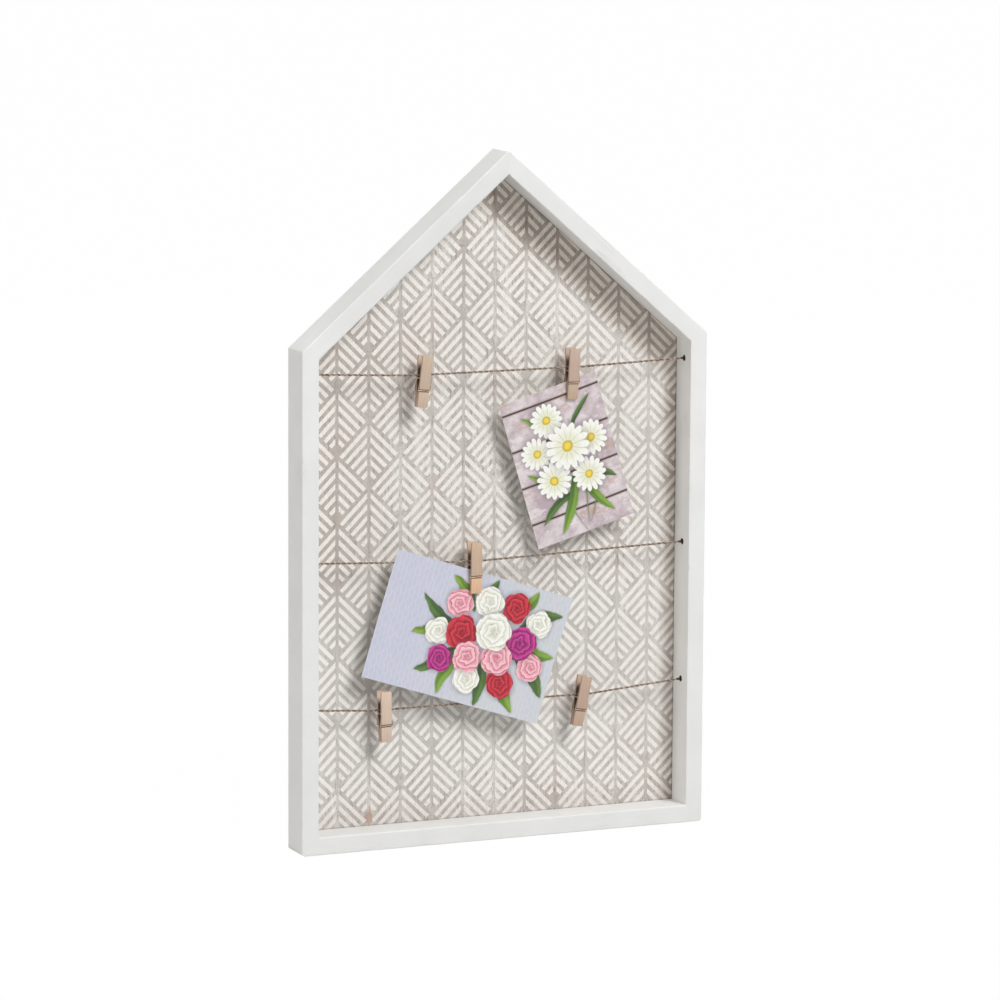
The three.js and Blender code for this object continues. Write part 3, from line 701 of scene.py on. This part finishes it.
def twine_mesh(name, centre, stretches, seed):
    draw = random.Random(seed)
    made = bmesh.new()
    groove = made.verts.layers.float.new("groove")
    travelled = [i * twine_step for i in range(len(centre))]
    axes = []
    for i in range(len(centre)):
        tangent = (centre[min(i + 1, len(centre) - 1)] - centre[max(i - 1, 0)]).normalized()
        axes.append((Vector((0, 1, 0)), tangent.cross(Vector((0, 1, 0)))))
    for ply in range(2):
        line = []
        radii = []
        for i, point in enumerate(centre):
            slack = noise.noise(Vector((travelled[i] / slack_length, seed, 0)))
            turn = 2 * math.pi * (travelled[i] / twist_pitch + 0.06 * slack) + math.pi * ply
            side, over = axes[i]
            line.append(point + ply_offset * (math.cos(turn) * side + math.sin(turn) * over))
            slub = noise.noise(Vector((travelled[i] / slub_length, seed, 5 + ply)))
            radii.append(ply_radius * (0.96 + 0.12 * slub - 0.06 * abs(slack)))
        # painted shade: the side of each ply that faces the other one is dark, where the plies shade each
        # other
        for i, ring in enumerate(add_tube(made, line, radii, ply_sides)):
            inward = (centre[i] - line[i]).normalized()
            for vertex in ring:
                facing = (vertex.co - line[i]).normalized().dot(inward)
                vertex[groove] = min(1, max(0, 1.4 * facing + 0.2))
    for low, high in stretches:
        for count in range(round((high - low) * fibres_to_mm)):
            x = draw.uniform(low, high) * mm
            nearest = min(range(len(centre)), key=lambda i: abs(centre[i].x - x))
            add_fibre(made, centre[nearest], axes[nearest], draw)
    mesh = finished_mesh(made, name, jute)
    mesh.shade_smooth()
    return mesh


def add_fibre(made, root, axes, draw):
    """One loose fibre: it leaves the twine at a slant and curls back along it."""
    side, over = axes
    turn = draw.uniform(0, 2 * math.pi)
    out = math.cos(turn) * side + math.sin(turn) * over
    along = draw.choice((-1, 1)) * side.cross(over)
    length = draw.uniform(*fibre_lengths)
    lift = draw.uniform(*fibre_lifts)
    sway = draw.uniform(*fibre_sways)
    points = []
    for step in range(fibre_steps + 1):
        share = step / fibre_steps
        height = fibre_root + lift * math.sin(share * draw.uniform(*fibre_arcs))
        points.append(root + along * length * share + out * height + along.cross(out) * sway * share ** 2)
    radii = [fibre_radius * (1 - 0.08 * step) for step in range(len(points))]
    add_tube(made, points, radii, fibre_sides)


jute = jute_finish()
for seed, (row, route) in enumerate(twine_routes.items(), 3):
    centre = twine_centre(route)
    mesh = twine_mesh(f"twine_{row}_jute", centre, free_stretches[row], seed)
    twine = give(f"twine_{row}_jute", mesh, "frame", f"twine_{row}")
    twine_length = sum((after - before).length for before, after in zip(centre, centre[1:]))


def glue_finish():
    made, start, shader = new_finish("glue", Roughness=0.35)
    clot = start.node("TexCoord", None, None, "Object").cloud(0.6 * cells, 3)
    clot.rise(0.3, 0.7).blend(tone(196, 182, 148), tone(226, 216, 190)).feed(shader.inputs["Base Color"])
    add_relief(clot, shader, 0.2 * mm)
    return made


glue = glue_finish()
for row in twine_routes:
    for side in ("left", "right"):
        dress(f"glue_plug_{row}_{side}", glue)

# Pegs
# Each peg is two beech prongs, turned front to back, round a spring bent from one piece of wire.
# The spring's coil lies between the prongs, and its two arms press the jaws together from outside.
peg_width = 7.6 * mm
coil_radius = 1.575 * mm
wire_radius = 0.4 * mm
wire_drop = 6.9 * mm
wire_side = 4.35 * mm
wire_bend = 0.9 * mm
wire_tail = 1 * mm
coil_pitch = 1.25 * mm
coil_close_turns = 3
coil_whole_turns = 4
wire_sides = 10
turn_steps = 24
bend_steps = 8
prong_softening = 0.22 * mm
prong_edge_degrees = 28
wire_crease_degrees = 60
jaw_half_gaps = {1: 0.1 * mm, 2: 0.225 * mm, 3: 0.225 * mm, 4: 0.1 * mm, 5: 0.1 * mm}
jaw_thickness = 2.55 * mm
handle_outer = 4.75 * mm
handle_height = 16.7 * mm
jaw_depth = 18.3 * mm
wire_groove = 0.7 * mm
wire_in_groove = 0.15 * mm
peg_tints = {1: ((203, 181, 161), (206, 183, 163)),
             2: ((197, 173, 157), (195, 171, 148)),
             3: ((207, 180, 156), (228, 188, 153)),
             4: ((222, 199, 180), (215, 192, 174)),
             5: ((196, 169, 150), (196, 168, 148))}
grain_shade = (0.82, 0.8, 0.78, 1)
sawn_shade = (0.66, 0.63, 0.63, 1)


def peg_wood_finish(name, handle, jaw):
    made, start, shader = new_finish(name)
    place = start.node("TexCoord", None, None, "Object")
    x, y, z = place.parts()
    ring = place.stretch(1, 1, 0.03).cloud(1.1 * cells, 3, 0.6)
    fleck = place.stretch(1, 1, 0.16).cloud(4.5 * cells, 2)
    below_wire = (z + wire_drop).rise(0.6 * mm, -0.6 * mm)
    colour = below_wire.blend(tone(*handle), tone(*jaw))
    colour = (ring.rise(0.66, 0.36) * 0.6).blend(colour, grain_shade, "MULTIPLY")
    colour = (fleck.rise(0.58, 0.76) * 0.5).blend(colour, grain_shade, "MULTIPLY")
    # the sides are left rough from the saw
    normal_x, normal_y, normal_z = start.node("NewGeometry", None, None, "True Normal").parts()
    colour = (abs(normal_x).rise(0.6, 0.9) * 0.8).blend(colour, sawn_shade, "MULTIPLY")
    # painted shade: the faces round the coil and the edges of the wire's groove are dark brown, where the
    # parts shade each other
    inner = (normal_y * y.math("SIGN")).rise(-0.4, -0.7)
    coil_shade = inner * z.rise(11 * mm, 7 * mm) * z.rise(-14 * mm, -11 * mm)
    from_groove = abs(z + wire_drop)
    wire_groove_shade = from_groove.rise(1.15 * mm, 0.8 * mm) * abs(y).rise(2 * mm, 2.4 * mm)
    colour = (coil_shade.math("MAXIMUM", wire_groove_shade) * 0.85).blend(colour, tone(58, 36, 24))
    colour.feed(shader.inputs["Base Color"])
    (ring * 0.15 + 0.55).feed(shader.inputs["Roughness"])
    add_relief(ring * 0.6 + fleck * 0.4, shader, 0.06 * mm)
    return made


def prong_mesh(name, node, place, wood):
    made = solid_copy(node, place)
    sharp = [edge for edge in made.edges if edge.calc_face_angle(0) > math.radians(prong_edge_degrees)]
    bmesh.ops.bevel(made, geom=sharp, offset=prong_softening, segments=2, profile=0.5,
                    affect="EDGES", clamp_overlap=True)
    mesh = finished_mesh(made, name, wood)
    round_shading(mesh)
    return mesh


def spring_line(jaw_half_gap):
    """Centre line of the spring: tail, front arm, coil, rear arm and tail, in one wire."""
    jaw_outer = jaw_half_gap + jaw_thickness
    share = (jaw_depth - wire_drop) / (jaw_depth + handle_height)
    outer = jaw_outer + (handle_outer - jaw_outer) * share
    wire_out = outer - wire_groove + wire_in_groove + wire_radius
    groove = Vector((0, -wire_out, -wire_drop))
    leave = math.atan2(groove.z, groove.y) - math.acos(coil_radius / groove.length) + 2 * math.pi

    def on_coil(angle, x):
        return Vector((x, coil_radius * math.cos(angle), coil_radius * math.sin(angle)))

    arm = (groove - on_coil(leave, 0)).normalized()
    bend_centre = groove - arm * wire_bend
    bend_centre.x = wire_side - wire_bend
    front = [Vector((-peg_width / 2 - wire_tail, groove.y, groove.z))]
    for step in range(bend_steps, -1, -1):
        angle = step / bend_steps * math.pi / 2
        aside = Vector((wire_bend * math.cos(angle), 0, 0))
        front.append(bend_centre + aside + arm * wire_bend * math.sin(angle))
    sweep = 2 * leave - math.pi + 2 * math.pi * coil_whole_turns
    close = 2 * math.pi * coil_close_turns
    lead = (sweep - close) / 2
    coil_half = coil_pitch * coil_close_turns / 2
    steps = round(sweep / (2 * math.pi) * turn_steps)
    coil = []
    for step in range(steps + 1):
        from_middle = sweep / 2 - sweep * step / steps
        within = max(-close / 2, min(close / 2, from_middle))
        x = within / close * 2 * coil_half + (from_middle - within) / lead * (wire_side - coil_half)
        coil.append(on_coil(leave - sweep * step / steps, x))
    rear = [Vector((-point.x, -point.y, point.z)) for point in reversed(front)]
    return [*front, *coil, *rear]


# painted reflection: the steel wire takes the warm beige of the wood it mirrors, with darker tarnish
spring_wire = metal_finish("spring_wire", tone(192, 168, 144), tone(140, 118, 98), 0.6)
hinges = {joint["name"]: joint for joint in frame["joints"] if joint["type"] == "hinge"}
peg_places = {}
for number in peg_tints:
    peg = f"peg_{number}"
    hinge = hinges[f"{peg}_jaw_hinge"]
    lean = math.atan2(hinge["axis"][2], -hinge["axis"][0])
    place = Matrix.Translation(hinge["pos_m"]) @ Matrix.Rotation(lean, 4, "Y")
    peg_places[number] = place
    peg_wood = peg_wood_finish(f"{peg}_wood", *peg_tints[number])
    for prong, body in (("front_prong", f"{peg}_jaw"), ("rear_prong", peg)):
        mesh = prong_mesh(f"{peg}_{prong}_wood", f"{peg}_{prong}", place, peg_wood)
        give(mesh.name, mesh, body, f"{peg}_{prong}", place)
    line = spring_line(jaw_half_gaps[number])
    made = bmesh.new()
    add_tube(made, line, [wire_radius] * len(line), wire_sides)
    made.transform(place)
    mesh = finished_mesh(made, f"{peg}_wire", spring_wire)
    round_shading(mesh, wire_crease_degrees)
    spring = give(mesh.name, mesh, None, f"{peg}_spring")
    axis_point = place.translation
    reach = Vector((0, coil_radius, 0))
    axis_point + reach
    axis_point - reach
    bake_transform(spring)

# Cards
# Two photo prints on stiff white card, each held in a peg's jaws by its top edge. The small one curls
# back at its sides and the large one forward at its foot. Their pictures are plain flower designs.
card_thickness = 0.25 * mm
card_cells = 3 * mm
soft_shadow = (0.5, 0.47, 0.5, 1)


def daisy(picture, u, v, at, radius, turn, tones):
    """Lays two rounds of narrow petals and their shadow over a picture."""
    rim, base, crease = tones
    out, angle = around(u, v, at, radius)
    picture = (out.rise(1.25, 0.8) * 0.7).blend(picture, soft_shadow, "MULTIPLY")
    for size, count in ((1, 15), (0.82, 13)):
        lobe = abs((angle * (count / 2) + turn * count).math("COSINE"))
        inside = (lobe ** 0.5 * 0.36 + 0.64) * size - out
        petal = inside.rise(0.5 * size, 0).blend(base, rim)
        petal = (lobe.rise(0.55, 0) * 0.7).blend(petal, crease)
        petal = (inside.rise(0.1, 0) * 0.3).blend(petal, crease)
        picture = inside.rise(0, 0.05).blend(picture, petal)
    return picture


def rose(picture, u, v, ruffle, at, radius, turn, tones):
    """Lays a full flower and its shadow over a picture; its petals wind outward in a swirl."""
    rim, base, crease = tones
    out, angle = around(u, v, at, radius)
    picture = (out.rise(1.3, 0.8) * 0.75).blend(picture, soft_shadow, "MULTIPLY")
    lobe = abs((angle * 2.5 + out * 2.4 + turn).math("COSINE"))
    swirl = (out * 3.3 + lobe * 0.3 + ruffle - angle * (0.5 / math.pi) + turn) % 1
    petal = swirl.rise(0.1, 0.9).blend(base, rim)
    petal = (swirl.rise(0.22, 0) * 0.9).blend(petal, crease)
    petal = (out.rise(0.4, 0) * 0.5).blend(petal, crease)
    inside = lobe * 0.1 + 0.9 - out
    return inside.rise(0, 0.05).blend(picture, petal)


def heart(picture, u, v, at, radius, light, dark):
    """The round middle of a flower."""
    out = around(u, v, at, radius)[0]
    return out.rise(1.05, 0.85).blend(picture, out.rise(0.3, 1).blend(light, dark))


def leaf(picture, u, v, base, tip, width, bend, light, dark):
    """Lays a pointed leaf over a picture, from its base to its tip, with a lit and a shaded half."""
    length = math.dist(base, tip)
    dx = (tip[0] - base[0]) / length
    dy = (tip[1] - base[1]) / length
    from_base = (u * dx + v * dy - (base[0] * dx + base[1] * dy)) * (1 / length)
    swell = (from_base * (1 - from_base)).math("MAXIMUM", 0)
    aside = v * dx - u * dy - (base[1] * dx - base[0] * dy) - swell * (4 * bend)
    beyond = (from_base * (1 - from_base)).math("MINIMUM", 0) * length
    inside = swell ** 0.75 * (width * 1.4) - abs(aside) + beyond
    vein = (aside * (14 / width)).math("SINE") * 0.12
    colour = (aside * (0.7 / width) + from_base * 0.5 + vein).rise(-0.3, 0.9).blend(dark, light)
    picture = (inside.rise(-1.6, 0.4) * 0.5).blend(picture, soft_shadow, "MULTIPLY")
    return inside.rise(0, 0.35).blend(picture, colour)


fresh_leaf = (tone(142, 178, 70), tone(52, 92, 30))
deep_leaf = (tone(98, 134, 62), tone(38, 66, 34))
stem = (tone(150, 172, 96), tone(96, 124, 56))


def daisy_picture(place, u, v):
    """White daisies with yellow hearts in front of old mauve boards with thin gaps between them."""
    grain = place.stretch(0.08, 1, 1).cloud(0.9 * cells, 4, 0.6)
    wash = place.cloud(0.06 * cells, 5, 0.65)
    peeled = place.stretch(0.5, 1, 1).cloud(0.09 * cells, 5, 0.7)
    picture = wash.rise(0.34, 0.66).blend(tone(184, 167, 173), tone(224, 214, 216))
    picture = (grain.rise(0.5, 0.75) * 0.35).blend(picture, tone(164, 142, 144))
    picture = (peeled.rise(0.56, 0.62) * 0.5).blend(picture, tone(186, 150, 134))
    picture = (peeled.rise(0.44, 0.38) * 0.6).blend(picture, tone(236, 228, 228))
    board = abs((v + 9) % 26.5 - 13.25)
    picture = board.rise(11.6, 12.9).blend(picture, tone(150, 128, 126))
    picture = board.rise(12.6, 12.9).blend(picture, tone(54, 38, 34))
    u = u + wash * 3 - 1.5
    v = v + peeled * 3 - 1.5
    for base, tip, width, bend, tones in (
            ((40, 4), (46, 80), 1.5, -3, stem), ((38, 2), (24, 74), 1.5, 4, stem),
            ((42, 6), (60, 52), 1.4, -3, stem), ((40, 30), (8, 14), 6, -4, deep_leaf),
            ((36, 40), (6, 52), 5, 3, fresh_leaf), ((46, 34), (70, 30), 5.5, 4, deep_leaf),
            ((40, 44), (20, 4), 7.5, 3, fresh_leaf), ((44, 46), (62, 8), 7, -4, fresh_leaf),
            ((44, 70), (66, 92), 4, 2, deep_leaf), ((30, 70), (12, 92), 4, -2, fresh_leaf)):
        picture = leaf(picture, u, v, base, tip, width, bend, *tones)
    white = (tone(250, 250, 246), tone(233, 234, 210), tone(188, 190, 166))
    for at, radius, turn in (((58, 62), 13, 0.2), ((17, 64), 12, 0.9), ((30, 84), 12.5, 0.5),
                             ((50, 38), 13, 0.7), ((24, 42), 13.5, 0.3), ((40, 62), 17, 0.1)):
        picture = daisy(picture, u, v, at, radius, turn, white)
        picture = heart(picture, u, v, at, radius * 0.25, tone(238, 214, 84), tone(196, 164, 36))
    return picture, grain


def garland_picture(place, u, v):
    """Full red, pink, purple and white blossoms with leaves on pale lavender embossed paper."""
    sway = place.cloud(0.07 * cells, 3, 0.6)
    spacing = 3.3
    fold = abs((u + sway * 2.5) % (2 * spacing) - spacing)
    wave = (v * (2 * math.pi / 7.5) + sway * 14).math("SINE") * 0.7
    line = abs(fold - wave - spacing / 2).rise(0.7, 0.1)
    picture = (u - v * 0.3).rise(0, 110).blend(tone(197, 199, 216), tone(203, 208, 210))
    picture = (sway.rise(0.3, 0.7) * 0.5).blend(picture, tone(206, 205, 219))
    picture = (line * 0.4).blend(picture, tone(222, 223, 232))
    u = u + sway * 5 - 2.5
    v = v + place.cloud(0.08 * cells, 3, 0.6) * 5 - 2.5
    ruffle = place.cloud(0.2 * cells, 3, 0.6) * 1.3
    for base, tip, width, bend, tones in (
            ((60, 50), (28, 66), 7.5, 3, deep_leaf), ((62, 44), (26, 38), 8.2, -3, fresh_leaf),
            ((64, 40), (36, 14), 9, 3, deep_leaf), ((70, 36), (56, 2), 9, -3, fresh_leaf),
            ((82, 34), (86, 1), 9, 3, deep_leaf), ((94, 36), (116, 3), 9.8, -3, fresh_leaf),
            ((104, 44), (134, 18), 9.8, 3, deep_leaf), ((108, 52), (136, 46), 8.2, -3, fresh_leaf),
            ((104, 60), (134, 76), 9, 3, deep_leaf), ((92, 64), (112, 88), 8.2, -3, fresh_leaf),
            ((80, 66), (80, 89), 7.5, 3, deep_leaf), ((68, 62), (46, 84), 8.2, -3, fresh_leaf)):
        picture = leaf(picture, u, v, base, tip, width, bend, *tones)
    white = (tone(251, 250, 246), tone(226, 226, 208), tone(184, 184, 164))
    pink = (tone(246, 205, 210), tone(226, 138, 158), tone(186, 74, 106))
    red = (tone(214, 58, 72), tone(160, 24, 46), tone(100, 10, 30))
    purple = (tone(206, 66, 152), tone(142, 24, 102), tone(86, 10, 64))
    for at, radius, tones, turn in (
            ((46, 44), 10, white, 0.2), ((56, 66), 10.5, pink, 0.8), ((118, 66), 10, white, 0.3),
            ((120, 36), 10, pink, 0.6), ((52, 26), 10, purple, 0.4), ((76, 17), 10.5, white, 0.9),
            ((101, 20), 11, red, 0.1), ((98, 73), 11, red, 0.5), ((77, 72), 11.5, white, 0.7),
            ((63, 47), 12.5, red, 0.6), ((108, 50), 12.5, purple, 0.2), ((72, 32), 11.5, pink, 0.5),
            ((94, 36), 12.5, pink, 0.3), ((86, 53), 14, white, 0.4)):
        picture = rose(picture, u, v, ruffle, at, radius, turn, tones)
    return picture, line


def photo_print_finish(name, design, left, height):
    made, start, shader = new_finish(name, Roughness=0.36)
    place = start.node("TexCoord", None, None, "Object")
    x, y, z = place.parts()
    picture, relief = design(place, x * cells + left, z * cells + height)
    picture.feed(shader.inputs["Base Color"])
    add_relief(relief, shader, 0.03 * mm)
    return made


def card_stock_finish():
    made, start, shader = new_finish("card_stock", Roughness=0.7)
    fibre = start.node("TexCoord", None, None, "Object").cloud(1.5 * cells, 4, 0.7)
    fibre.rise(0.3, 0.7).blend(tone(232, 231, 226), tone(244, 243, 239)).feed(shader.inputs["Base Color"])
    add_relief(fibre, shader, 0.02 * mm)
    return made


def card_mesh(name, picture, width, height, left, side_curl, foot_curl):
    """A thin sheet round its held point: front, back and four edges, bent forward by its curls."""
    columns = round(width * mm / card_cells)
    rows = round(height * mm / card_cells)
    made = bmesh.new()
    layers = []
    for depth in (-card_thickness / 2, card_thickness / 2):
        layer = []
        for row in range(rows + 1):
            for column in range(columns + 1):
                x = (column / columns * width - left) * mm
                z = -row / rows * height * mm
                bow = side_curl * x ** 2 + foot_curl * z ** 2
                layer.append(made.verts.new((x, depth - bow, z)))
        layers.append(layer)
    front, back = layers
    across = columns + 1
    for row in range(rows):
        for column in range(columns):
            a = row * across + column
            b, c, d = a + 1, a + across + 1, a + across
            made.faces.new((front[a], front[d], front[c], front[b]))
            made.faces.new((back[a], back[b], back[c], back[d])).material_index = 1
    top = list(range(across))
    bottom = [rows * across + i for i in top]
    left_edge = [row * across for row in range(rows + 1)]
    right_edge = [row * across + columns for row in range(rows + 1)]
    for rim in (top[::-1], bottom, left_edge, right_edge[::-1]):
        for a, b in zip(rim, rim[1:]):
            made.faces.new((front[a], front[b], back[b], back[a])).material_index = 1
    bmesh.ops.recalc_face_normals(made, faces=made.faces)
    mesh = finished_mesh(made, name, picture, card_stock)
    round_shading(mesh)
    return mesh


card_stock = card_stock_finish()
for name, number, width, height, left, turn, grip, side_curl, foot_curl, design in (
        ("card_portrait", 2, 74, 105, 56, 16.9, 4.9, -0.6, 0, daisy_picture),
        ("card_landscape", 3, 137, 90, 59.3, -18.1, 2.9, 0, 0.3, garland_picture)):
    picture = photo_print_finish(f"{name}_photo", design, left, height)
    mesh = card_mesh(f"{name}_print", picture, width, height, left, side_curl, foot_curl)
    held = peg_places[number] @ Vector((0, 0, -grip * mm))
    place = Matrix.Translation(held) @ Matrix.Rotation(-math.radians(turn), 4, "Y")
    give(mesh.name, mesh, f"peg_{number}", name, place)
